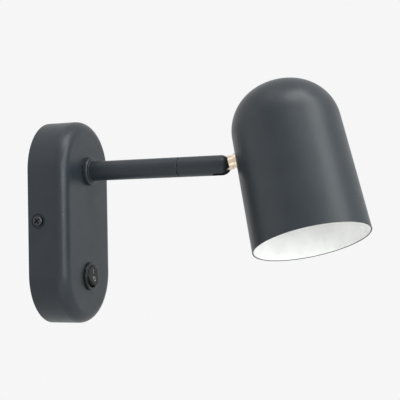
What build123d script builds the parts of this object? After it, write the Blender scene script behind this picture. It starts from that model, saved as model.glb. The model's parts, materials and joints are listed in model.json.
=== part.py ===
from build123d import *
import os
from math import asin, cos, degrees, radians, sin, sqrt, tan

# Bedside wall reading lamp. Millimetres, +Z up. The wall is the plane Y = 0 and the lamp stands out
# from it towards -Y. The origin is the middle of the wall bracket's back face.
# "Out" below is the distance from the wall, measured along -Y.

# ---- Wall cover: a deep-drawn stadium box, open at the wall ----
cover_height = 165.0
cover_width = 82.0
cover_depth = 33.0
cover_wall = 1.5
cover_edge_r = 9.0
dimple_r = 6.0
dimple_depth = 0.6
side_screw_z = 1.0
side_screw_out = 9.2

# ---- Fasteners ----
thread_gap = 0.05
screw_gap = 0.25
side_screw_r = 2.0
side_screw_head_r = 4.0
side_screw_head_h = 3.1
side_screw_length = 8.0
small_screw_r = 1.5
small_screw_head_r = 2.6
small_screw_head_h = 1.8
cross_slot_width = 1.1
cross_slot_turn = 38.0
set_screw_slot_width = 0.6
set_screw_slot_depth = 0.9

# ---- Wall bracket: pressed plate with two folded side tabs ----
bracket_t = 1.5
bracket_width = 54.0
bracket_end_margin = 7.0
bracket_cover_gap = 1.0
bracket_corner_r = 12.0
tab_width = 20.0
tab_reach = 15.0
tab_gap = 0.3
wall_hole_spacing = 120.0
wall_slot_width = 5.0
wall_slot_length = 10.0
dish_z = -17.0
dish_r = 9.0
dish_depth = 3.0

# ---- Cable grommet in the bracket's dish ----
grommet_bore_r = 4.0
grommet_neck_r = 5.5
grommet_flange_r = 8.0
grommet_lip = 2.4
seat_gap = 0.05

# ---- Terminal block and earth screw ----
block_z = 12.0
block_width = 29.0
block_height = 15.0
block_depth = 12.0
block_corner_r = 1.2
block_ways = 3
way_pitch = 9.5
sleeve_r = 2.8
sleeve_bore_r = 1.7
sleeve_length = 13.0
clamp_screw_offset = 3.4
clamp_screw_length = 4.6
earth_x = -17.0
earth_z = 33.0
earth_collar_h = 1.5
earth_washer_side = 9.0
earth_washer_t = 1.0

# ---- Rocker switch, set in the cover's front ----
switch_z = -44.5
bezel_r = 11.5
bezel_h = 2.4
bezel_edge_r = 1.1
housing_r = 10.0
housing_wall = 0.7
housing_depth = 16.0
housing_gap = 0.15
snap_lug_drop = 5.0
snap_lug_out = 1.0
snap_lug_width = 4.0
rocker_well_depth = 7.0
rocker_r = 8.4
rocker_lean = 9.0
rocker_pivot_depth = 1.5
rocker_centre_h = 3.2
rocker_edge_r = 0.9
rocker_skirt = 1.8
rocker_side_t = 1.3
rocker_top_t = 1.6
trunnion_r = 1.2
running_gap = 0.06
stem_r = 2.0
stem_bore_r = 1.35
stem_bore_top = 0.6
stem_length = 5.2
plunger_reach = 8.0
plunger_in_stem = 2.2
spring_wire_r = 0.14
spring_turns = 5
chamber_width = 7.2
chamber_height = 14.0
chamber_floor = 2.0
see_saw_pivot_depth = 11.0
see_saw_length = 10.0
see_saw_width = 4.0
see_saw_t = 0.6
see_saw_ridge_r = 0.6
contact_pad_r = 1.0
contact_pad_inset = 0.6
blade_t = 0.8
blade_width = 4.8
blade_reach = 8.0
blade_corner_r = 1.0
mark_depth = 0.2
mark_on_y = 3.3
mark_off_y = -2.9
mark_on_height = 3.5
mark_off_r = 2.0
mark_stroke = 0.7

# ---- Arm: fixed tube with its collar, joined to the cover by a hollow nipple ----
arm_z = 41.5
arm_r = 8.0
arm_wall = 1.2
collar_r = 11.5
collar_h = 4.0
collar_edge_r = 1.3
collar_hub_r = 9.6
collar_hub_h = 0.8
collar_hub_edge_r = 0.4
seam_from_cover = 81.0
seam_gap = 0.45
seam_bevel = 0.35
nipple_r = 4.95
nipple_bore_r = 3.6
nipple_length = 18.0
nipple_in_plug = 9.0
plug_length = 10.0
arm_nut_flats = 14.0
arm_nut_h = 4.0
lock_washer_r = 9.0
lock_washer_t = 0.9

# ---- Swivel between the fixed tube and the fork arm ----
bush_length = 9.8
spindle_r = 4.45
spindle_bore_r = 3.2
spindle_in_fork = 9.5
spindle_head_r = 6.0
spindle_head_h = 2.1
wave_washer_t = 0.7
stop_pin_r = 0.8
stop_pin_pitch_r = 5.65
stop_pin_length = 5.4
stop_groove_depth = 2.0
stop_groove_gap = 0.1
stop_pin_end_gap = 0.2
swivel_stop = 160.0

# ---- Fork and tilt hinge ----
pivot_from_cover = 116.0
fork_slot = 6.0
fork_slot_floor = 7.0
fork_bore_r = 3.8
pivot_r = 2.0
pivot_head_r = 3.5
pivot_head_h = 1.75
pivot_socket_flats = 2.5
pivot_socket_floor = 0.5
pivot_blind = 6.6
pivot_end_gap = 0.2
tongue_t = 4.8
tongue_r = 5.0
friction_washer_t = 0.5
friction_washer_r = 4.4

# ---- Knuckle: tongue, barrel, flange and hollow stud ----
barrel_r = 4.8
fork_end_gap = 0.35
flange_r = 6.2
flange_h = 2.0
flange_edge_r = 0.4
wire_way_r = 1.8
wire_way_turn = 135.0
stud_r = 3.95
stud_bore_r = 2.0
stud_end = 1.2
knuckle_nut_flats = 13.0
knuckle_nut_h = 4.0
knuckle_washer_r = 6.5
knuckle_washer_t = 0.8
spacer_r = 6.0

# ---- Shade: one spun shell, a slight cone with a domed top ----
shade_rim_r = 45.0
shade_length = 130.0
shade_wall = 1.0
shade_cone = 1.6
shade_corner_r = 37.0
shade_crown_r = 49.0
shade_rim_round = 0.45
knuckle_below_top = 51.12
pivot_to_shade = 13.5

# ---- Lamp holder bracket, holder and bulb, all on the shade's axis ----
strip_width = 14.0
strip_t = 1.5
strip_inset = 2.1
strip_rise = 21.0
strip_drop = 8.0
strip_bend_r = 2.5
strip_past_axis = 13.0
holder_r = 14.0
holder_height = 19.0
holder_edge_cut = 0.8
holder_screw_pitch = 17.0
holder_screw_length = 10.0
holder_wire_r = 3.5
bulb_pin_pitch = 10.0
bulb_pin_r = 2.45
bulb_pin_neck_r = 1.4
bulb_pin_head_h = 3.0
bulb_pin_reach = 8.0
pin_slot_gap = 0.3
pin_turn = 35.0
holder_lip = 4.2
contact_width = 4.2
contact_t = 1.0
contact_height = 3.6
bulb_gap = 0.3
bulb_base_r = 12.6
bulb_base_h = 7.0
bulb_r = 25.0
bulb_cone_end = 33.0
bulb_shoulder_r = 4.0
bulb_length = 46.0
bulb_wall = 2.4
board_t = 1.6
board_depth = 34.5
lens_t = 2.0
lens_inset = 0.4

# ---- Pose in which the lamp stands at rest ----
rest_roll = 12.5
rest_tilt = 14.3

# ---- Worked out from the sizes above ----
cover_inner_out = cover_depth - cover_wall
bracket_height = wall_hole_spacing + wall_slot_length + 2 * bracket_end_margin
collar_bore_r = arm_r + 0.1
tube_bore_r = arm_r - arm_wall
seam_out = cover_depth + seam_from_cover
pivot_out = cover_depth + pivot_from_cover
bush_front_out = seam_out - seam_gap / 4
fork_rear_out = seam_out + seam_gap / 2
cone_slope = tan(radians(shade_cone))
shade_r_at_knuckle = shade_rim_r - (shade_length - knuckle_below_top) * cone_slope
axis_out = pivot_to_shade + shade_r_at_knuckle
strip_face_out = pivot_to_shade + shade_wall + strip_inset
stud_length_out = (strip_face_out + strip_t + knuckle_washer_t + knuckle_nut_h
                   + stud_end + 3 * seat_gap)
holder_top_z = strip_rise - strip_t
holder_face_z = holder_top_z - seat_gap - holder_height
bulb_top_z = holder_face_z - bulb_gap
wall_side_x = cover_width / 2 - cover_wall
boss_face_x = wall_side_x - dimple_depth
tab_outer_x = boss_face_x - tab_gap
side_seat_x = cover_width / 2 - dimple_depth

# Frames. Local +Z of each "out" frame points away from the wall, local +Y points up.
arm_frame = Pos(0, 0, arm_z) * Rot(90, 0, 0)
switch_frame = Pos(0, -cover_depth, switch_z) * Rot(90, 0, 0)
fork_frame = Pos(0, 0, arm_z) * Rot(0, rest_roll, 0) * Rot(90, 0, 0)
head_frame = Pos(0, -pivot_out, arm_z) * Rot(0, rest_roll, 0) * Rot(-rest_tilt, 0, 0)
head_out_frame = head_frame * Rot(90, 0, 0)
bulb_frame = head_frame * Pos(0, -axis_out, 0)
rocker_frame = switch_frame * Pos(0, 0, -rocker_pivot_depth) * Rot(-rocker_lean, 0, 0)
see_saw_frame = switch_frame * Pos(0, 0, -see_saw_pivot_depth) * Rot(rocker_lean, 0, 0)


def post(r, low, high):
    """A cylinder on local Z from low to high."""
    return Pos(0, 0, low) * Cylinder(r, high - low, align=(Align.CENTER, Align.CENTER, Align.MIN))


def ring(r, bore, low, high):
    return post(r, low, high) - post(bore, low - 1, high + 1)


def block(low, high):
    """A box between two corners."""
    size = [b - a for a, b in zip(low, high)]
    return Pos(*low) * Box(*size, align=(Align.MIN, Align.MIN, Align.MIN))


def lying(r, low, high, y=0.0, z=0.0):
    """A cylinder along local X from low to high."""
    return Pos(low, y, z) * Rot(0, 90, 0) * post(r, 0, high - low)


def hexagon_nut(flats, bore, low, high):
    across_corners_r = flats / 2 / cos(radians(30))
    body = extrude(Pos(0, 0, low) * RegularPolygon(across_corners_r, 6), high - low)
    return body - post(bore, low - 1, high + 1)


def pan_head(r, head_r, head_h, length):
    """A cross-slot screw: head above local Z = 0, shank below."""
    head = post(head_r, 0, head_h)
    head = fillet(head.edges().group_by(Axis.Z)[-1], head_h / 2)
    slot_length = 1.3 * head_r
    slot_low = head_h * 0.4
    for turn in (0, 90):
        slot = Box(slot_length, cross_slot_width, head_h, align=(Align.CENTER, Align.CENTER, Align.MIN))
        head -= Pos(0, 0, slot_low) * Rot(0, 0, turn) * slot
    return head + post(r, -length, 0)


def group(solids):
    return Compound(children=[s.solid() if hasattr(s, "solid") else s for s in solids])


# ---------------------------------------------------------------- wall unit


def stadium_block(inset, back_out, front_out, edge_r):
    """A stadium in the wall's plane, standing from back_out to front_out, its front edge rounded."""
    outline = SlotOverall(cover_height - 2 * inset, cover_width - 2 * inset, rotation=90)
    body = extrude(Pos(0, 0, back_out) * outline, front_out - back_out)
    if edge_r > 0:
        body = fillet(body.edges().group_by(Axis.Z)[-1], edge_r)
    return Rot(90, 0, 0) * body


def wall_cover():
    body = stadium_block(0, 0, cover_depth, cover_edge_r)
    for side in (-1, 1):
        body += side_axis(side) * post(dimple_r + cover_wall, boss_face_x, side_seat_x)
    hollow = stadium_block(cover_wall, -1, cover_inner_out, cover_edge_r - cover_wall)
    for side in (-1, 1):
        hollow -= side_axis(side) * post(dimple_r + cover_wall, boss_face_x, cover_width)
    body -= hollow
    for side in (-1, 1):
        dimple = Cone(dimple_r - dimple_depth, dimple_r + 1, dimple_depth + 1,
                      align=(Align.CENTER, Align.CENTER, Align.MIN))
        body -= side_axis(side) * Pos(0, 0, side_seat_x) * dimple
        body -= side_axis(side) * post(side_screw_r + screw_gap, 0, cover_width)
    body -= arm_frame * post(nipple_r + screw_gap, cover_inner_out - 1, cover_depth + 1)
    body -= switch_frame * post(housing_r + housing_gap, -cover_wall - 1, 1)
    return body


def side_axis(side):
    """Local Z runs sideways through a cover screw: +1 for the +X side."""
    return Pos(0, -side_screw_out, side_screw_z) * Rot(0, side * 90, 0)


def wall_bracket():
    inset = cover_wall + bracket_cover_gap
    plate = RectangleRounded(bracket_width, bracket_height, bracket_corner_r)
    plate &= SlotOverall(cover_height - 2 * inset, cover_width - 2 * inset, rotation=90)
    plate += Pos(0, side_screw_z) * Rectangle(2 * tab_outer_x, tab_width)
    body = Rot(90, 0, 0) * extrude(plate, bracket_t)
    for side in (-1, 1):
        near, far = sorted((side * tab_outer_x, side * (tab_outer_x - bracket_t)))
        body += block((near, -tab_reach, side_screw_z - tab_width / 2),
                      (far, 0, side_screw_z + tab_width / 2))
        body += side_axis(side) * post(side_screw_r + bracket_t, tab_outer_x - 2 * bracket_t,
                                       tab_outer_x)
        body -= side_axis(side) * post(side_screw_r + thread_gap, 0, cover_width)
    dish = Pos(0, 0, dish_z) * Rot(90, 0, 0)
    body += dish * post(dish_r + bracket_t, 0, dish_depth + bracket_t)
    body -= dish * post(dish_r, -1, dish_depth)
    body -= dish * post(grommet_neck_r + seat_gap, -1, dish_depth + bracket_t + 1)
    for side in (-1, 1):
        slot = SlotOverall(wall_slot_length, wall_slot_width, rotation=90)
        cut = extrude(Pos(0, side * wall_hole_spacing / 2, -1) * slot, bracket_t + 2)
        body -= Rot(90, 0, 0) * cut
    body += earth_axis() * post(side_screw_r + bracket_t, 0, bracket_t + earth_collar_h)
    body -= earth_axis() * post(side_screw_r + thread_gap, -1, bracket_t + earth_collar_h + 1)
    body -= block_screw_axis() * post(small_screw_r + thread_gap, -1, bracket_t + 1)
    return body


def cover_screws():
    screws = []
    for side in (-1, 1):
        screw = pan_head(side_screw_r, side_screw_head_r, side_screw_head_h, side_screw_length)
        place = side_axis(side) * Pos(0, 0, side_seat_x + seat_gap) * Rot(0, 0, cross_slot_turn)
        screws.append(place * screw)
    return group(screws)


def cable_grommet():
    floor_back = dish_depth
    floor_front = dish_depth + bracket_t
    body = post(grommet_flange_r, floor_back - grommet_lip - seat_gap, floor_back - seat_gap)
    body += post(grommet_neck_r, floor_back - 1, floor_front + 1)
    body += post(grommet_flange_r, floor_front + seat_gap, floor_front + seat_gap + grommet_lip)
    body -= post(grommet_bore_r, -1, floor_front + 2 * grommet_lip + 1)
    return Pos(0, 0, dish_z) * Rot(90, 0, 0) * body


def earth_axis():
    return Pos(earth_x, 0, earth_z) * Rot(90, 0, 0)


def earth_clamp_washer():
    low = bracket_t + earth_collar_h + seat_gap
    plate = extrude(Pos(0, 0, low) * RectangleRounded(earth_washer_side, earth_washer_side, 1),
                    earth_washer_t)
    return earth_axis() * (plate - post(side_screw_r + screw_gap, 0, low + 2 * earth_washer_t))


def earth_screw():
    seat = bracket_t + earth_collar_h + earth_washer_t + 2 * seat_gap
    screw = pan_head(side_screw_r, side_screw_head_r, side_screw_head_h, seat - tab_gap)
    return earth_axis() * Pos(0, 0, seat) * screw


def way_positions():
    return [(i - (block_ways - 1) / 2) * way_pitch for i in range(block_ways)]


def block_screw_axis():
    """The block's fixing screw stands between its last two ways."""
    return Pos(way_pitch / 2, 0, block_z) * Rot(90, 0, 0)


def sleeve_out():
    return bracket_t + seat_gap + block_depth * 0.45


def terminal_block():
    low = bracket_t + seat_gap
    outline = RectangleRounded(block_width, block_height, block_corner_r)
    body = Pos(0, 0, block_z) * Rot(90, 0, 0) * extrude(Pos(0, 0, low) * outline, block_depth)
    for x in way_positions():
        body -= Pos(x, -sleeve_out(), block_z - block_height) * post(sleeve_r + seat_gap, 0,
                                                                  2 * block_height)
        for side in (-1, 1):
            body -= clamp_axis(x, side) * post(small_screw_r + screw_gap, 0, block_depth)
    body -= block_screw_axis() * post(small_screw_r + screw_gap, 0, block_depth + 5)
    return body


def clamp_axis(x, side):
    """Local Z runs out of one way's clamp screw, from the middle of its sleeve."""
    return Pos(x, -sleeve_out(), block_z + side * clamp_screw_offset) * Rot(90, 0, 0)


def terminal_sleeves():
    sleeves = []
    for x in way_positions():
        low = block_z - sleeve_length / 2
        sleeve = Pos(x, -sleeve_out(), low) * ring(sleeve_r, sleeve_bore_r, 0, sleeve_length)
        for side in (-1, 1):
            sleeve -= clamp_axis(x, side) * post(small_screw_r + thread_gap, 0, 2 * sleeve_r)
        sleeves.append(sleeve)
    return group(sleeves)


def terminal_screws():
    screws = []
    for x in way_positions():
        for side in (-1, 1):
            screw = post(small_screw_r, 0, clamp_screw_length)
            half = set_screw_slot_width / 2
            screw -= block((-2 * small_screw_r, -half, clamp_screw_length - set_screw_slot_depth),
                           (2 * small_screw_r, half, clamp_screw_length + 1))
            screws.append(clamp_axis(x, side) * Pos(0, 0, sleeve_bore_r / 2) * screw)
    return group(screws)


def terminal_block_screw():
    seat = bracket_t + block_depth + 2 * seat_gap
    screw = pan_head(small_screw_r, small_screw_head_r, small_screw_head_h, seat - tab_gap)
    return block_screw_axis() * Pos(0, 0, seat) * screw


# ---------------------------------------------------------------- rocker switch


def switch_housing():
    well_r = housing_r - housing_wall
    flange = fillet(post(bezel_r, 0, bezel_h).edges().group_by(Axis.Z)[-1], bezel_edge_r)
    body = flange + post(housing_r, -housing_depth, seat_gap)
    body -= post(well_r, -rocker_well_depth, bezel_h + 1)
    body -= block((-chamber_width / 2, -chamber_height / 2, -housing_depth + chamber_floor),
                  (chamber_width / 2, chamber_height / 2, 0))
    body -= lying(trunnion_r + running_gap, -housing_r, housing_r, 0, -rocker_pivot_depth)
    for y in (0, -contact_pad_y()):
        body -= block((-blade_width / 2 - seat_gap, y - blade_t / 2 - seat_gap, -housing_depth - 1),
                      (blade_width / 2 + seat_gap, y + blade_t / 2 + seat_gap, -rocker_well_depth))
    for side in (-1, 1):
        shelf = -cover_wall - seat_gap
        low = shelf - snap_lug_drop
        wedge = Polyline((0, shelf), (housing_wall + snap_lug_out, shelf), (housing_wall, low),
                         (0, low), close=True)
        lug = extrude(Plane.YZ * make_face(wedge), snap_lug_width / 2, both=True)
        body += Rot(0, 0, 90 * (side - 1)) * Pos(0, housing_r - housing_wall, 0) * lug
    return switch_frame * body


def contact_pad_y():
    return see_saw_length / 2 - contact_pad_inset


def rocker_top(y):
    """Height of the rocker's face above its pivot: a shallow V, low in the middle."""
    return rocker_centre_h + rocker_pivot_depth + abs(y) * tan(radians(rocker_lean))


def switch_rocker():
    reach = rocker_r + 1
    section = Polyline((0, -rocker_skirt), (reach, -rocker_skirt), (reach, rocker_top(reach)),
                       (0, rocker_top(0)), close=True)
    half = extrude(Plane.YZ * make_face(section), reach, both=True)
    half &= post(rocker_r, -rocker_skirt - 1, rocker_top(reach) + 1)
    rim = half.faces().sort_by(Axis.Z)[-1].edges().filter_by(GeomType.LINE, reverse=True)
    half = fillet(rim, rocker_edge_r)
    body = half + Rot(0, 0, 180) * half
    body -= post(rocker_r - rocker_side_t, -rocker_skirt - 1, rocker_top(0) - rocker_top_t)
    body += post(stem_r, -stem_length, rocker_top(0) - 1)
    body -= post(stem_bore_r, -stem_length - 1, stem_bore_top)
    for side in (-1, 1):
        inner, outer = sorted((side * (rocker_r - 1), side * (housing_r - housing_gap)))
        body += lying(trunnion_r, inner, outer)
    body -= on_mark()
    body -= off_mark()
    return rocker_frame * body


def mark_frame(y):
    side = 1 if y > 0 else -1
    return Pos(0, y, rocker_top(y)) * Rot(side * rocker_lean, 0, 0)


def on_mark():
    """A plain upright stroke let into the rocker's upper half."""
    return mark_frame(mark_on_y) * block((-mark_stroke / 2, -mark_on_height / 2, -mark_depth),
                                         (mark_stroke / 2, mark_on_height / 2, 1))


def off_mark():
    """A plain ring let into the rocker's lower half."""
    return mark_frame(mark_off_y) * ring(mark_off_r, mark_off_r - mark_stroke, -mark_depth, 1)


def switch_plunger():
    r = stem_bore_r - running_gap
    top = -stem_length + plunger_in_stem
    body = post(r, -plunger_reach + r, top) + Pos(0, 0, -plunger_reach + r) * Sphere(r)
    return rocker_frame * body


def switch_spring():
    low = -stem_length + plunger_in_stem + 2 * spring_wire_r
    high = stem_bore_top - 2 * spring_wire_r
    coil_r = stem_bore_r - running_gap - 2 * spring_wire_r
    path = Helix((high - low) / spring_turns, high - low, coil_r, center=(0, 0, low))
    start = Plane(path @ 0, z_dir=path % 0)
    return rocker_frame * sweep(start * Circle(spring_wire_r), path)


def switch_contact():
    low = see_saw_ridge_r
    body = block((-see_saw_width / 2, -see_saw_length / 2, low),
                 (see_saw_width / 2, see_saw_length / 2, low + see_saw_t))
    body += lying(see_saw_ridge_r, -see_saw_width / 2, see_saw_width / 2)
    neck = see_saw_ridge_r * 0.7
    body += block((-see_saw_width / 2, -neck, 0), (see_saw_width / 2, neck, low + 0.1))
    return see_saw_frame * body


def switch_terminals():
    low = -housing_depth - blade_reach
    cradle = -see_saw_pivot_depth
    common = block((-blade_width / 2, -blade_t / 2, low), (blade_width / 2, blade_t / 2, cradle))
    common = fillet(common.edges().filter_by(Axis.Y).group_by(Axis.Z)[0], blade_corner_r)
    common -= lying(see_saw_ridge_r + 0.1, -blade_width, blade_width, 0, cradle)
    y = -contact_pad_y()
    sunk = (see_saw_length / 2) * sin(radians(rocker_lean)) - see_saw_ridge_r + 0.15
    pad_top = cradle - sunk
    fixed = block((-blade_width / 2, y - blade_t / 2, low), (blade_width / 2, y + blade_t / 2, pad_top - 1))
    fixed = fillet(fixed.edges().filter_by(Axis.Y).group_by(Axis.Z)[0], blade_corner_r)
    fixed += Pos(0, y, 0) * post(contact_pad_r, pad_top - 1.2, pad_top)
    return group([switch_frame * common, switch_frame * fixed])


# ---------------------------------------------------------------- arm root and fixed tube


def arm_collar():
    """A flat disc with a rounded edge and a lower, narrower hub ring in front of it."""
    disc = post(collar_r, cover_depth, cover_depth + collar_h)
    disc = fillet(disc.edges().group_by(Axis.Z)[-1], collar_edge_r)
    hub_front = cover_depth + collar_h + collar_hub_h
    hub = post(collar_hub_r, cover_depth + 1, hub_front)
    hub = fillet(hub.edges().group_by(Axis.Z)[-1], collar_hub_edge_r)
    return arm_frame * (disc + hub - post(collar_bore_r, 0, hub_front + 1))


def arm_tube():
    end = seam_out - seam_gap / 2
    tube = post(arm_r, cover_depth + seat_gap, end)
    tube = chamfer(tube.edges().group_by(Axis.Z)[-1], seam_bevel)
    return arm_frame * (tube - post(tube_bore_r, 0, end + 1))


def arm_root_plug():
    low = cover_depth + seat_gap
    return arm_frame * ring(tube_bore_r - thread_gap, nipple_r + thread_gap, low, low + plug_length)


def arm_nipple():
    high = cover_depth + nipple_in_plug
    return arm_frame * ring(nipple_r, nipple_bore_r, high - nipple_length, high)


def arm_lock_washer():
    high = cover_inner_out - seat_gap
    return arm_frame * ring(lock_washer_r, nipple_r + screw_gap, high - lock_washer_t, high)


def arm_nut():
    high = cover_inner_out - 2 * seat_gap - lock_washer_t
    return arm_frame * hexagon_nut(arm_nut_flats, nipple_r + thread_gap, high - arm_nut_h, high)


# ---------------------------------------------------------------- swivel


def swivel_bush():
    """Pressed into the tube's end. A groove in its face leaves a lug that stops the swivel."""
    body = ring(tube_bore_r - thread_gap, spindle_r + thread_gap, bush_front_out - bush_length,
                bush_front_out)
    pin_angle = degrees(asin(stop_pin_r / stop_pin_pitch_r))
    lug_angle = 2 * (180 - swivel_stop - pin_angle) - 1
    groove_half = stop_pin_r + stop_groove_gap
    groove = ring(stop_pin_pitch_r + groove_half, stop_pin_pitch_r - groove_half,
                  bush_front_out - stop_groove_depth, bush_front_out + 1)
    reach = 2 * arm_r
    half = radians(lug_angle / 2)
    wedge = Polyline((0, 0), (-reach * sin(half), -reach * cos(half)),
                     (reach * sin(half), -reach * cos(half)), close=True)
    lug = extrude(Pos(0, 0, bush_front_out - bush_length) * make_face(wedge), 2 * bush_length)
    return arm_frame * (body - (groove - lug))


def spindle_shoulder_out():
    """Where the spindle's head ends, behind the washer and the bush."""
    return bush_front_out - bush_length - wave_washer_t - 2 * seat_gap


def swivel_spindle():
    shoulder = spindle_shoulder_out()
    body = post(spindle_head_r, shoulder - spindle_head_h, shoulder)
    body += post(spindle_r, shoulder - 1, fork_rear_out + spindle_in_fork)
    body -= post(spindle_bore_r, shoulder - spindle_head_h - 1, fork_rear_out + spindle_in_fork + 1)
    return fork_frame * body


def swivel_wave_washer():
    low = spindle_shoulder_out() + seat_gap
    return fork_frame * ring(spindle_head_r + 0.2, spindle_r + 0.15, low, low + wave_washer_t)


def swivel_stop_pin():
    low = bush_front_out - stop_groove_depth + stop_pin_end_gap
    return fork_frame * Pos(0, stop_pin_pitch_r, 0) * post(stop_pin_r, low, low + stop_pin_length)


# ---------------------------------------------------------------- fork


def fork_arm():
    """A bar with a ball end, slotted into two ears. Its rear takes the spindle and the stop pin."""
    body = post(arm_r, fork_rear_out, pivot_out + arm_r + 1)
    body = chamfer(body.edges().group_by(Axis.Z)[0], seam_bevel)
    rounded = block((-arm_r - 1, -arm_r - 1, 0), (arm_r + 1, arm_r + 1, pivot_out))
    rounded += Pos(0, 0, pivot_out) * Sphere(arm_r)
    body &= rounded
    boss_r = stop_pin_pitch_r + stop_pin_r + 0.2
    body += post(boss_r, bush_front_out + 0.1, fork_rear_out + 1)
    root = pivot_out - fork_slot_floor + fork_slot / 2
    body -= block((-fork_slot / 2, -arm_r - 1, root), (fork_slot / 2, arm_r + 1, pivot_out + 2 * arm_r))
    body -= Pos(0, 0, root) * Rot(90, 0, 0) * Cylinder(fork_slot / 2, 2 * arm_r + 2)
    body -= post(fork_bore_r, 0, root)
    body -= post(spindle_r + thread_gap, 0, fork_rear_out + spindle_in_fork + 0.5)
    pin_low = bush_front_out - stop_groove_depth + stop_pin_end_gap
    body -= Pos(0, stop_pin_pitch_r, 0) * post(stop_pin_r + 0.02, 0, pin_low + stop_pin_length + 0.1)
    body -= lying(pivot_r + thread_gap, -pivot_blind, arm_r + 1, 0, pivot_out)
    body -= lying(pivot_head_r + 0.1, pivot_head_x(), arm_r + 1, 0, pivot_out)
    return fork_frame * body


def pivot_head_x():
    """Where the pivot screw's head seats inside the far ear."""
    flat = sqrt(arm_r**2 - pivot_head_r**2)
    return flat - pivot_head_h - pivot_end_gap


def pivot_screw():
    seat = pivot_head_x() + seat_gap
    body = lying(pivot_r, -pivot_blind + pivot_end_gap, seat)
    body += lying(pivot_head_r, seat, seat + pivot_head_h)
    socket = extrude(RegularPolygon(pivot_socket_flats / 2 / cos(radians(30)), 6), pivot_head_h)
    body -= Pos(seat + pivot_socket_floor, 0, 0) * Rot(0, 90, 0) * socket
    return fork_frame * Pos(0, 0, pivot_out) * body


def pivot_washers():
    discs = []
    for side in (-1, 1):
        low, high = sorted((side * (fork_slot / 2 - seat_gap),
                            side * (fork_slot / 2 - seat_gap - friction_washer_t)))
        disc = lying(friction_washer_r, low, high) - lying(pivot_r + 0.1, low - 1, high + 1)
        discs.append(fork_frame * Pos(0, 0, pivot_out) * disc)
    return group(discs)


# ---------------------------------------------------------------- head


def shade_section(inset):
    """Half section of the shade's outer surface moved inwards by inset, as a face to revolve.

    The side is a cone, tangent to a corner arc, which is tangent to the crown's arc. X is the
    distance from the axis and the drawing's height is minus the distance below the top."""
    lean = radians(shade_cone)
    start_r = shade_rim_r - shade_length * cone_slope - shade_corner_r / cos(lean)
    square = 1 + cone_slope**2
    middle = start_r * cone_slope - shade_crown_r
    rest = shade_crown_r**2 + start_r**2 - (shade_crown_r - shade_corner_r) ** 2
    corner_depth = (-middle - sqrt(middle**2 - square * rest)) / square
    corner_x = start_r + cone_slope * corner_depth
    corner = Vector(corner_x, -corner_depth)
    crown = Vector(0, -shade_crown_r)
    out_crown = (corner - crown).normalized()
    out_wall = Vector(cos(lean), sin(lean))
    out_corner = (out_crown + out_wall).normalized()
    out_top = (out_crown + Vector(0, 1)).normalized()
    corner_r = shade_corner_r - inset
    crown_r = shade_crown_r - inset
    top = Vector(0, -inset)
    shoulder = corner + out_crown * corner_r
    hip = corner + out_wall * corner_r
    rim = Vector(shade_rim_r - inset / cos(lean), -shade_length)
    outline = [
        ThreePointArc(top, crown + out_top * crown_r, shoulder),
        ThreePointArc(shoulder, corner + out_corner * corner_r, hip),
        Line(hip, rim),
        Line(rim, (0, -shade_length)),
        Line((0, -shade_length), top),
    ]
    return Plane.XZ * make_face(Wire(outline))


def shade_solid(inset):
    """The full solid inside the surface moved inwards by inset, in the head's frame."""
    return Pos(0, -axis_out, knuckle_below_top) * revolve(shade_section(inset), Axis.Z)


def shade():
    body = shade_solid(0) - shade_solid(shade_wall)
    body = fillet(body.edges().group_by(Axis.Z)[0], shade_rim_round)
    body -= Rot(90, 0, 0) * post(stud_r + screw_gap, 0, axis_out)
    return head_frame * body


def hinge_knuckle():
    """Brass tongue, barrel, flange and hollow stud in one piece. Local Z runs into the shade.

    The barrel's back is hollowed to follow the fork's ball end."""
    start = arm_r + fork_end_gap
    flange_top = pivot_to_shade + 1
    body = post(barrel_r, start / 2, flange_top) - Sphere(start)
    body += block((-tongue_t / 2, -tongue_r, 0), (tongue_t / 2, tongue_r, start + 1))
    body += lying(tongue_r, -tongue_t / 2, tongue_t / 2)
    flange = post(flange_r, pivot_to_shade - flange_h, flange_top)
    flange = fillet(flange.edges().group_by(Axis.Z)[0], flange_edge_r)
    body += flange
    body -= Rot(-90, 0, 0) * shade_solid(-seat_gap)
    body += post(stud_r, pivot_to_shade - 1, stud_length_out)
    body -= post(stud_bore_r, start, stud_length_out + 1)
    body -= Pos(0, 0, start + 1) * Rot(-wire_way_turn, 0, 0) * post(wire_way_r, -0.5, 3 * tongue_r)
    body -= lying(pivot_r + thread_gap, -tongue_t, tongue_t)
    return head_out_frame * body


def knuckle_spacer():
    """Turns the shade's curved inner wall into a flat seat for the holder's strip."""
    body = post(spacer_r, pivot_to_shade, strip_face_out - seat_gap)
    body &= Rot(-90, 0, 0) * shade_solid(shade_wall + seat_gap)
    return head_out_frame * (body - post(stud_r + 0.1, 0, stud_length_out))


def knuckle_lock_washer():
    low = strip_face_out + strip_t + seat_gap
    return head_out_frame * ring(knuckle_washer_r, stud_r + 0.1, low, low + knuckle_washer_t)


def knuckle_nut():
    low = strip_face_out + strip_t + knuckle_washer_t + 2 * seat_gap
    return head_out_frame * hexagon_nut(knuckle_nut_flats, stud_r + thread_gap, low, low + knuckle_nut_h)


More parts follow.
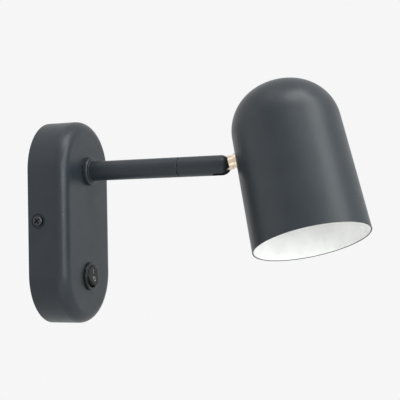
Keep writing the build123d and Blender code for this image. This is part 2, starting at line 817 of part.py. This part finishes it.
def holder_strip():
    """Bent strip: one leg along the shade's wall, one leg across its axis."""
    far = axis_out + strip_past_axis
    half = strip_width / 2
    leg = block((-half, -strip_face_out - strip_t, -strip_drop), (half, -strip_face_out, strip_rise))
    cross = block((-half, -far, strip_rise - strip_t), (half, -strip_face_out, strip_rise))
    body = leg + cross
    outer = body.edges().filter_by(Axis.X).sort_by_distance((0, -strip_face_out, strip_rise))[0]
    body = fillet(outer, strip_bend_r)
    inner = body.edges().filter_by(Axis.X).sort_by_distance(
        (0, -strip_face_out - strip_t, strip_rise - strip_t))[0]
    body = fillet(inner, strip_bend_r - strip_t)
    body -= Rot(90, 0, 0) * post(stud_r + 0.1, 0, 2 * strip_face_out)
    body -= Pos(0, -axis_out, 0) * post(holder_wire_r, 0, 2 * strip_rise)
    for place in holder_screw_places():
        body -= place * post(small_screw_r + screw_gap, -strip_rise, strip_rise)
    return head_frame * body


def holder_screw_places():
    """In the head's frame, on the strip's top face."""
    return [Pos(0, -axis_out + side * holder_screw_pitch / 2, strip_rise) for side in (-1, 1)]


def holder_screws():
    screws = []
    for place in holder_screw_places():
        screw = pan_head(small_screw_r, small_screw_head_r, small_screw_head_h, holder_screw_length)
        screws.append(head_frame * place * Pos(0, 0, seat_gap) * screw)
    return group(screws)


def pin_way(width, low, high):
    """Two curved slots in which the bulb's pins turn, in the bulb's frame."""
    slot = SlotArc(CenterArc((0, 0), bulb_pin_pitch / 2, 0, pin_turn), width)
    cut = extrude(Pos(0, 0, low) * slot, high - low)
    return cut + Rot(0, 0, 180) * cut


def pin_entry(low, high):
    """Round holes at the far end of the slots, through which the pins' heads go in."""
    cut = Rot(0, 0, pin_turn) * Pos(bulb_pin_pitch / 2, 0, 0) * post(bulb_pin_r + pin_slot_gap, low, high)
    return cut + Rot(0, 0, 180) * cut


def pin_room_top():
    return bulb_top_z + bulb_pin_reach + pin_slot_gap


def lamp_holder():
    body = post(holder_r, holder_face_z, holder_top_z - seat_gap)
    body = chamfer(body.edges().group_by(Axis.Z)[0], holder_edge_cut)
    neck = 2 * (bulb_pin_neck_r + pin_slot_gap)
    head = 2 * (bulb_pin_r + pin_slot_gap)
    body -= pin_way(neck, holder_face_z - 1, holder_face_z + holder_lip)
    body -= pin_entry(holder_face_z - 1, pin_room_top())
    body -= pin_way(head, holder_face_z + holder_lip - 0.1, pin_room_top())
    for side in (-1, 1):
        body -= contact_room(side, seat_gap)
        body -= Pos(0, side * holder_screw_pitch / 2, 0) * post(small_screw_r + thread_gap,
                                                             strip_rise - holder_screw_length - 1,
                                                             strip_rise)
    body -= post(holder_wire_r, pin_room_top() + contact_height + 1, strip_rise)
    return bulb_frame * body


def contact_room(side, gap):
    """The space of one contact leaf, just above a pin's head, grown by gap."""
    low = pin_room_top() - (1 if gap else 0)
    return Pos(side * bulb_pin_pitch / 2, 0, 0) * block(
        (-contact_width / 2 - gap, -contact_t / 2 - gap, low),
        (contact_width / 2 + gap, contact_t / 2 + gap, pin_room_top() + contact_height + gap))


def holder_contacts():
    return group([bulb_frame * contact_room(side, 0) for side in (-1, 1)])


def bulb_body():
    cone = (bulb_r - bulb_base_r) / (bulb_cone_end - bulb_base_h)
    cavity_top = bulb_base_h + 2 * bulb_wall
    cavity_r = bulb_base_r + cone * (cavity_top - bulb_base_h) - bulb_wall * 1.3
    shelf_r = board_r() - 2
    outline = Polyline(
        (0, 0), (bulb_base_r, 0), (bulb_base_r, -bulb_base_h), (bulb_r, -bulb_cone_end),
        (bulb_r, -bulb_length), (lens_r() + 0.1, -bulb_length),
        (lens_r() + 0.1, -bulb_length + lens_t + lens_inset),
        (board_r() + 0.1, -bulb_length + lens_t + lens_inset), (board_r() + 0.1, -board_depth),
        (shelf_r, -board_depth), (cavity_r, -cavity_top), (0, -cavity_top), close=True)
    body = revolve(Plane.XZ * make_face(outline), Axis.Z)
    shoulder = body.edges().filter_by_position(Axis.Z, -bulb_cone_end - 0.1, -bulb_cone_end + 0.1)
    body = fillet(shoulder, bulb_shoulder_r)
    for side in (-1, 1):
        body -= Pos(side * bulb_pin_pitch / 2, 0, 0) * post(bulb_pin_neck_r + 0.02, -4, 1)
    return bulb_frame * Pos(0, 0, bulb_top_z) * body


def lens_r():
    return bulb_r - bulb_wall * 0.6


def board_r():
    return bulb_r - bulb_wall


def bulb_lens():
    high = -bulb_length + lens_inset + lens_t - seat_gap
    return bulb_frame * Pos(0, 0, bulb_top_z) * post(lens_r(), high - lens_t + seat_gap, high)


def bulb_board():
    body = post(board_r(), -board_depth - seat_gap - board_t, -board_depth - seat_gap)
    return bulb_frame * Pos(0, 0, bulb_top_z) * body


def bulb_pins():
    pins = []
    for side in (-1, 1):
        pin = post(bulb_pin_neck_r, -3.8, bulb_pin_reach - 1)
        pin += post(bulb_pin_r, bulb_pin_reach - bulb_pin_head_h, bulb_pin_reach)
        pins.append(bulb_frame * Pos(side * bulb_pin_pitch / 2, 0, bulb_top_z) * pin)
    return group(pins)


pieces = [
    wall_cover, wall_bracket, cover_screws, cable_grommet, earth_clamp_washer, earth_screw,
    terminal_block, terminal_sleeves, terminal_screws, terminal_block_screw,
    switch_housing, switch_terminals, switch_rocker, switch_plunger, switch_spring, switch_contact,
    arm_collar, arm_tube, arm_root_plug, arm_nipple, arm_lock_washer, arm_nut,
    swivel_bush, swivel_spindle, swivel_wave_washer, swivel_stop_pin, fork_arm, pivot_screw,
    pivot_washers, hinge_knuckle, shade, knuckle_spacer, knuckle_lock_washer, knuckle_nut,
    holder_strip, holder_screws, lamp_holder, holder_contacts, bulb_body, bulb_lens, bulb_board,
    bulb_pins,
]

os.makedirs("parts", exist_ok=True)
for piece in pieces:
    export_step(piece(), f"parts/{piece.__name__}.step")
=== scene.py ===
import json
from math import cos, radians, sin, tan

import bpy
from mathutils import Matrix, Vector


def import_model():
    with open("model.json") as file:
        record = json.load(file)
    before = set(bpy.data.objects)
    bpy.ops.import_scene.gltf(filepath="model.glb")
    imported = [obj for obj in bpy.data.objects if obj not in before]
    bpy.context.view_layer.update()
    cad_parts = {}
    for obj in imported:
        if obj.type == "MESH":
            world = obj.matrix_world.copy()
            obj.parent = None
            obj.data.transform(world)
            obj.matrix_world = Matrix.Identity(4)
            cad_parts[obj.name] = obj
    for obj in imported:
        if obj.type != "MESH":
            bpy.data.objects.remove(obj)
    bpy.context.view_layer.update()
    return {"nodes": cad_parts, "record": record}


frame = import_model()
nodes = frame["nodes"]

# A wall lamp. Its shape is the CAD model's alone: this script gives it finishes, a background, light and
# a camera.
#
# Lengths are in metres and angles in degrees, in the frame of the model: the wall is the plane Y = 0, and
# the lamp stands out towards -Y.

# The tilt hinge, and how far the arm and the shade are turned from upright and straight.
PIVOT = Vector((0, -0.149, 0.0415))
REST_ROLL = 12.5
REST_TILT = 14.3

# The shade, whose axis runs beside the hinge.
SHADE_LENGTH = 0.130
SHADE_RIM_RADIUS = 0.045
SHADE_TAPER = 1.6
KNUCKLE_BELOW_TOP = 0.05112
KNUCKLE_REACH = 0.0135
KNUCKLE_ABOVE_RIM = SHADE_LENGTH - KNUCKLE_BELOW_TOP
SHADE_AXIS_OUT = KNUCKLE_REACH + SHADE_RIM_RADIUS - KNUCKLE_ABOVE_RIM * tan(radians(SHADE_TAPER))
INSIDE_LOOKED_FROM = 0.056
DARK_RIM = 0.0006

# The rocker switch and the two marks let into its face.
SWITCH = Vector((0, -0.033, -0.0445))
ROCKER_AXIS_BELOW = 0.0015
ROCKER_LEAN = 9.0
ROCKER_FACE = 0.0047
MARK_REACH_X = 0.0022
MARK_REACH_Y = (0.0007, 0.0054)
MARK_DEPTH = (0.00003, 0.00026)

# The background and the floor that fades into it.
BACKGROUND = 0.922
FLOOR_Z = -0.55
FLOOR_RADIUS = 14
FLOOR_SIDES = 96
FLOOR_GREY = 0.78
FLOOR_ROUGHNESS = 0.9
FLOOR_SPECULAR = 0.1
FADE_FROM = 0.5
FADE_TO = 1.5
FADE_AT_LAMP = 0.5

# Light. Each softbox faces LIT_POINT, and azimuth 0 is straight in front of the wall.
AMBIENT = 0.64
LIT_POINT = Vector((0, -0.15, 0.02))
PLAIN_WHITE = (1.0, 1.0, 1.0)
SOFTBOXES = (
    # name, azimuth, elevation, distance, width, height, watts, tint
    ("front", -9, 14, 1.3, 0.7, 0.8, 6.6, (0.94, 1.0, 0.99)),
    ("front_left", -37, 8, 1.3, 0.4, 0.7, 7.4, (0.95, 1.0, 1.0)),
    ("front_high", -4, 42, 1.3, 0.6, 0.5, 4.8, (0.96, 1.0, 0.98)),
    ("above", -26, 64, 1.1, 0.7, 0.4, 6.4, (1.0, 0.98, 0.96)),
    ("left", -150, 20, 1.4, 1.2, 1.2, 2.8, PLAIN_WHITE),
    ("below", -85, -45, 0.7, 0.6, 0.6, 0.9, PLAIN_WHITE),
    ("top", -110, 72, 1.2, 1.0, 0.7, 3.0, PLAIN_WHITE),
)

# The camera: the way it looks, its place along its own right, up and back, and its lens.
CAMERA_AZIMUTH = -69.5
CAMERA_ELEVATION = -1.98
CAMERA_ROLL = -1.165
CAMERA_RIGHT = 0.1218
CAMERA_UP = 0.0190
CAMERA_BACK = 0.7975
FOCAL_PIXELS = 957.7
PICTURE_PIXELS = 400
SENSOR_MM = 36
CLIP_START = 0.01


def head_matrix():
    """From the shade's own frame, where its axis is upright, to the model's."""
    return (Matrix.Translation(PIVOT) @ Matrix.Rotation(radians(REST_ROLL), 4, "Y")
            @ Matrix.Rotation(radians(-REST_TILT), 4, "X"))


def rocker_matrix():
    """From the rocker's own frame, where its face looks up, to the model's."""
    turn = Matrix.Rotation(radians(90), 4, "X")
    place = Matrix.Translation(SWITCH) @ turn @ Matrix.Translation((0, 0, -ROCKER_AXIS_BELOW))
    return place @ Matrix.Rotation(radians(-ROCKER_LEAN), 4, "X")


# ---------------------------------------------------------------- materials


class Shader:
    """A procedural surface with fine bump, uneven gloss and slight colour variation."""

    def __init__(self, name, colour, roughness, metallic=0.0):
        self.material = bpy.data.materials.new(name)
        self.material.use_nodes = True
        self.tree = self.material.node_tree
        self.bsdf = self.tree.nodes["Principled BSDF"]
        self.colour = (*colour, 1)
        self.roughness = roughness
        self.bsdf.inputs["Base Color"].default_value = self.colour
        self.bsdf.inputs["Roughness"].default_value = roughness
        self.bsdf.inputs["Metallic"].default_value = metallic
        self.where = self.add("ShaderNodeTexCoord").outputs["Object"]
        self.normal = None

    def add(self, kind, **values):
        node = self.tree.nodes.new(kind)
        for key, value in values.items():
            setattr(node, key, value)
        return node

    def link(self, a, b):
        self.tree.links.new(a, b)

    def noise(self, size, detail=3.0, stretch=(1, 1, 1)):
        """Noise whose features are about size metres across."""
        node = self.add("ShaderNodeTexNoise")
        mapping = self.add("ShaderNodeMapping")
        mapping.inputs["Scale"].default_value = stretch
        self.link(self.where, mapping.inputs["Vector"])
        self.link(mapping.outputs["Vector"], node.inputs["Vector"])
        node.inputs["Scale"].default_value = 1.0 / size
        node.inputs["Detail"].default_value = detail
        node.inputs["Roughness"].default_value = 0.55
        return node.outputs["Fac"]

    def span(self, value, low, high, to_low, to_high):
        """Maps low to high onto to_low to to_high, and no further."""
        node = self.add("ShaderNodeMapRange")
        self.link(value, node.inputs["Value"])
        for key, number in (("From Min", low), ("From Max", high),
                            ("To Min", to_low), ("To Max", to_high)):
            node.inputs[key].default_value = number
        return node.outputs["Result"]

    def bump(self, height, depth):
        """Adds a height field, depth metres deep, to the surface."""
        node = self.add("ShaderNodeBump")
        node.inputs["Strength"].default_value = 1.0
        node.inputs["Distance"].default_value = depth
        self.link(height, node.inputs["Height"])
        if self.normal is not None:
            self.link(self.normal, node.inputs["Normal"])
        self.normal = node.outputs["Normal"]
        self.link(self.normal, self.bsdf.inputs["Normal"])

    def uneven_gloss(self, value, amount):
        """Varies the roughness by amount to each side."""
        rough = self.span(value, 0.3, 0.7, self.roughness - amount, self.roughness + amount)
        self.link(rough, self.bsdf.inputs["Roughness"])

    def clouds(self, size, detail, low, high, colour):
        """Patches of another colour, about size metres across: none at low, full at high."""
        factor = self.span(self.noise(size, detail), low, high, 0, 1)
        mix = self.add("ShaderNodeMix", data_type="RGBA")
        self.link(factor, mix.inputs["Factor"])
        mix.inputs["A"].default_value = self.colour
        mix.inputs["B"].default_value = (*colour, 1)
        self.link(mix.outputs["Result"], self.bsdf.inputs["Base Color"])


def powder_coat(name, colour, roughness, specular):
    s = Shader(name, colour, roughness)
    s.bsdf.inputs["Specular IOR Level"].default_value = specular
    s.bump(s.noise(0.0011, detail=2.0), depth=0.00004)
    s.bump(s.noise(0.00035, detail=2.0), depth=0.00002)
    s.uneven_gloss(s.noise(0.014, detail=4.0), amount=0.035)
    lighter = tuple(c * 1.18 for c in colour)
    s.clouds(0.02, detail=3.0, low=0.35, high=0.75, colour=lighter)
    return s


def metal(name, colour, roughness, brushed=None):
    s = Shader(name, colour, roughness, metallic=1.0)
    if brushed:
        s.bump(s.noise(0.0004, detail=2.0, stretch=brushed), depth=0.000012)
    s.bump(s.noise(0.0006, detail=3.0), depth=0.000006)
    s.uneven_gloss(s.noise(0.004, detail=4.0), amount=0.05)
    darker = tuple(c * 0.86 for c in colour)
    s.clouds(0.006, detail=4.0, low=0.4, high=0.7, colour=darker)
    return s


def plastic(name, colour, roughness, specular=None, grain=0.0005, depth=0.000012):
    s = Shader(name, colour, roughness)
    if specular is not None:
        s.bsdf.inputs["Specular IOR Level"].default_value = specular
    s.bump(s.noise(grain, detail=2.0), depth)
    s.uneven_gloss(s.noise(0.006, detail=3.0), amount=0.04)
    lighter = tuple(min(1, c * 1.08 + 0.002) for c in colour)
    s.clouds(0.01, detail=3.0, low=0.4, high=0.75, colour=lighter)
    return s


def ceramic(name, colour, roughness):
    s = Shader(name, colour, roughness)
    s.bump(s.noise(0.0007, detail=3.0), depth=0.00005)
    s.uneven_gloss(s.noise(0.004), amount=0.08)
    s.clouds(0.003, detail=5.0, low=0.45, high=0.7, colour=(0.64, 0.60, 0.52))
    return s


def opal(name, colour, roughness):
    s = Shader(name, colour, roughness)
    s.bsdf.inputs["Subsurface Weight"].default_value = 0.3
    s.bsdf.inputs["Subsurface Radius"].default_value = (0.002, 0.002, 0.002)
    s.bump(s.noise(0.002, detail=2.0), depth=0.00003)
    s.uneven_gloss(s.noise(0.008), amount=0.03)
    return s


# The finish of each material slot of the model.
finishes = {
    "graphite_paint": powder_coat("graphite_paint", (0.0132, 0.0178, 0.0222), 0.385, 0.32),
    "zinc_steel": metal("zinc_plate", (0.60, 0.61, 0.62), 0.36),
    "screw_steel": metal("nickel_plate", (0.56, 0.55, 0.54), 0.26),
    "black_screw": metal("black_oxide", (0.055, 0.057, 0.062), 0.4),
    "champagne_brass": metal("champagne_brass", (0.68, 0.56, 0.43), 0.3, brushed=(1, 1, 12)),
    "plain_brass": metal("bare_brass", (0.72, 0.52, 0.23), 0.32),
    "black_plastic": plastic("black_plastic", (0.007, 0.008, 0.008), 0.42, specular=0.15),
    "nylon": plastic("nylon", (0.72, 0.70, 0.64), 0.45),
    "block_plastic": plastic("block_plastic", (0.72, 0.72, 0.70), 0.5),
    "grommet_rubber": plastic("rubber", (0.02, 0.02, 0.02), 0.75, grain=0.0008, depth=0.00003),
    "holder_ceramic": ceramic("holder_ceramic", (0.76, 0.73, 0.66), 0.6),
    "bulb_plastic": plastic("bulb_plastic", (0.80, 0.80, 0.79), 0.35),
    "bulb_lens": opal("opal_lens", (0.9, 0.9, 0.87), 0.25),
    "board_aluminium": metal("board_aluminium", (0.8, 0.8, 0.81), 0.3),
}

# Finishes of one piece, or of some faces of it.
glossy_black = plastic("glossy_black_plastic", (0.006, 0.007, 0.008), 0.28, specular=0.26,
                       depth=0.000004)
white_inside = powder_coat("white_inner_paint", (0.84, 0.84, 0.83), 0.5, 0.5)
mark_paint = plastic("mark_paint", (0.27, 0.27, 0.265), 0.55)

for part in frame["record"]["subparts"]:
    mesh = nodes[part["node"]].data
    mesh.materials.clear()
    mesh.materials.append(finishes[part["material_slot"]].material)
nodes["switch_housing"].data.materials[0] = glossy_black.material


def paint(node, shader, chosen):
    """Gives the faces for which chosen(centre, normal) is true a second finish."""
    mesh = nodes[node].data
    index = len(mesh.materials)
    mesh.materials.append(shader.material)
    for face in mesh.polygons:
        if chosen(face.center, face.normal):
            face.material_index = index


into_head = head_matrix().inverted()
into_rocker = rocker_matrix().inverted()


def inside_shade(centre, normal):
    """The shade's inner wall, above the rounded rim."""
    at = into_head @ centre
    facing = into_head.to_3x3() @ normal
    middle = Vector((0, -SHADE_AXIS_OUT, KNUCKLE_BELOW_TOP - INSIDE_LOOKED_FROM))
    away = at - middle
    away.z = max(away.z, 0)
    below_top = KNUCKLE_BELOW_TOP - at.z
    return facing.dot(away) < 0 and below_top < SHADE_LENGTH - DARK_RIM


def in_mark(centre, _normal):
    """The floors and walls of the two marks let into the rocker's face."""
    at = into_rocker @ centre
    surface = ROCKER_FACE + abs(at.y) * tan(radians(ROCKER_LEAN))
    depth = (surface - at.z) * cos(radians(ROCKER_LEAN))
    near = abs(at.x) < MARK_REACH_X and MARK_REACH_Y[0] < abs(at.y) < MARK_REACH_Y[1]
    return near and MARK_DEPTH[0] < depth < MARK_DEPTH[1]


paint("shade", white_inside, inside_shade)
paint("switch_rocker", mark_paint, in_mark)


# ---------------------------------------------------------------- floor, background and light


def seen_directly(tree):
    """1 for rays that see the background itself or mirrored in the lamp, 0 for soft light."""
    path = tree.nodes.new("ShaderNodeLightPath")
    total = path.outputs["Is Camera Ray"]
    for ray in ("Is Glossy Ray", "Is Transmission Ray"):
        larger = tree.nodes.new("ShaderNodeMath")
        larger.operation = "MAXIMUM"
        tree.links.new(total, larger.inputs[0])
        tree.links.new(path.outputs[ray], larger.inputs[1])
        total = larger.outputs["Value"]
    return total


def blended(tree, factor, first, second, into):
    """Leads a blend of two shaders into the output, all first where factor is 0."""
    mix = tree.nodes.new("ShaderNodeMixShader")
    tree.links.new(factor, mix.inputs["Fac"])
    tree.links.new(first, mix.inputs[1])
    tree.links.new(second, mix.inputs[2])
    tree.links.new(mix.outputs["Shader"], into.inputs["Surface"])


def floor():
    """A pale floor under the lamp that runs out into an even background."""
    bpy.ops.mesh.primitive_circle_add(vertices=FLOOR_SIDES, radius=FLOOR_RADIUS, fill_type="NGON",
                                      location=(0, 0, FLOOR_Z))
    plane = bpy.context.object
    plane.name = "floor"
    material = bpy.data.materials.new("pale_floor")
    material.use_nodes = True
    tree = material.node_tree
    bsdf = tree.nodes["Principled BSDF"]
    bsdf.inputs["Base Color"].default_value = (FLOOR_GREY, FLOOR_GREY, FLOOR_GREY, 1)
    bsdf.inputs["Roughness"].default_value = FLOOR_ROUGHNESS
    bsdf.inputs["Specular IOR Level"].default_value = FLOOR_SPECULAR
    glow = tree.nodes.new("ShaderNodeEmission")
    glow.inputs["Color"].default_value = (BACKGROUND, BACKGROUND, BACKGROUND, 1)
    where = tree.nodes.new("ShaderNodeTexCoord")
    length = tree.nodes.new("ShaderNodeVectorMath")
    length.operation = "LENGTH"
    tree.links.new(where.outputs["Object"], length.inputs[0])
    fade = tree.nodes.new("ShaderNodeMapRange")
    fade.interpolation_type = "SMOOTHSTEP"
    fade.inputs["From Min"].default_value = FADE_FROM
    fade.inputs["From Max"].default_value = FADE_TO
    fade.inputs["To Min"].default_value = FADE_AT_LAMP
    tree.links.new(length.outputs["Value"], fade.inputs["Value"])
    seen = tree.nodes.new("ShaderNodeMath")
    seen.operation = "MULTIPLY"
    tree.links.new(fade.outputs["Result"], seen.inputs[0])
    tree.links.new(seen_directly(tree), seen.inputs[1])
    blended(tree, seen.outputs["Value"], bsdf.outputs["BSDF"], glow.outputs["Emission"],
            tree.nodes["Material Output"])
    plane.data.materials.append(material)


def world():
    """Soft light from all round, behind a background of one even tone."""
    studio = bpy.data.worlds.new("studio")
    bpy.context.scene.world = studio
    studio.use_nodes = True
    tree = studio.node_tree
    soft = tree.nodes["Background"]
    soft.inputs["Color"].default_value = (*PLAIN_WHITE, 1)
    soft.inputs["Strength"].default_value = AMBIENT
    seen = tree.nodes.new("ShaderNodeBackground")
    seen.inputs["Color"].default_value = (BACKGROUND, BACKGROUND, BACKGROUND, 1)
    blended(tree, seen_directly(tree), soft.outputs["Background"], seen.outputs["Background"],
            tree.nodes["World Output"])


def softbox(name, azimuth, elevation, distance, width, height, watts, tint):
    """A soft light that faces the lamp."""
    data = bpy.data.lights.new(name, "AREA")
    data.shape = "RECTANGLE"
    data.size = width
    data.size_y = height
    data.energy = watts
    data.color = tint
    lamp = bpy.data.objects.new(name, data)
    bpy.context.scene.collection.objects.link(lamp)
    a, e = radians(azimuth), radians(elevation)
    away = Vector((sin(a) * cos(e), -cos(a) * cos(e), sin(e)))
    lamp.location = LIT_POINT + distance * away
    lamp.rotation_euler = away.to_track_quat("Z", "Y").to_euler()


def camera():
    """The photograph's view, from 0.8 m away and a little below the lamp's middle."""
    azimuth, elevation = radians(CAMERA_AZIMUTH), radians(CAMERA_ELEVATION)
    roll = radians(CAMERA_ROLL)
    right = Vector((cos(azimuth), sin(azimuth), 0))
    back = Vector((sin(azimuth) * cos(elevation), -cos(azimuth) * cos(elevation), sin(elevation)))
    up = back.cross(right)
    right, up = cos(roll) * right + sin(roll) * up, cos(roll) * up - sin(roll) * right
    data = bpy.data.cameras.new("camera")
    data.sensor_width = SENSOR_MM
    data.lens = FOCAL_PIXELS / PICTURE_PIXELS * SENSOR_MM
    data.clip_start = CLIP_START
    cam = bpy.data.objects.new("camera", data)
    bpy.context.scene.collection.objects.link(cam)
    turn = Matrix((right, up, back)).transposed().to_4x4()
    place = CAMERA_RIGHT * right + CAMERA_UP * up + CAMERA_BACK * back
    cam.matrix_world = Matrix.Translation(place) @ turn
    bpy.context.scene.camera = cam


bpy.context.scene.view_settings.view_transform = "Standard"
floor()
world()
for row in SOFTBOXES:
    softbox(*row)
camera()
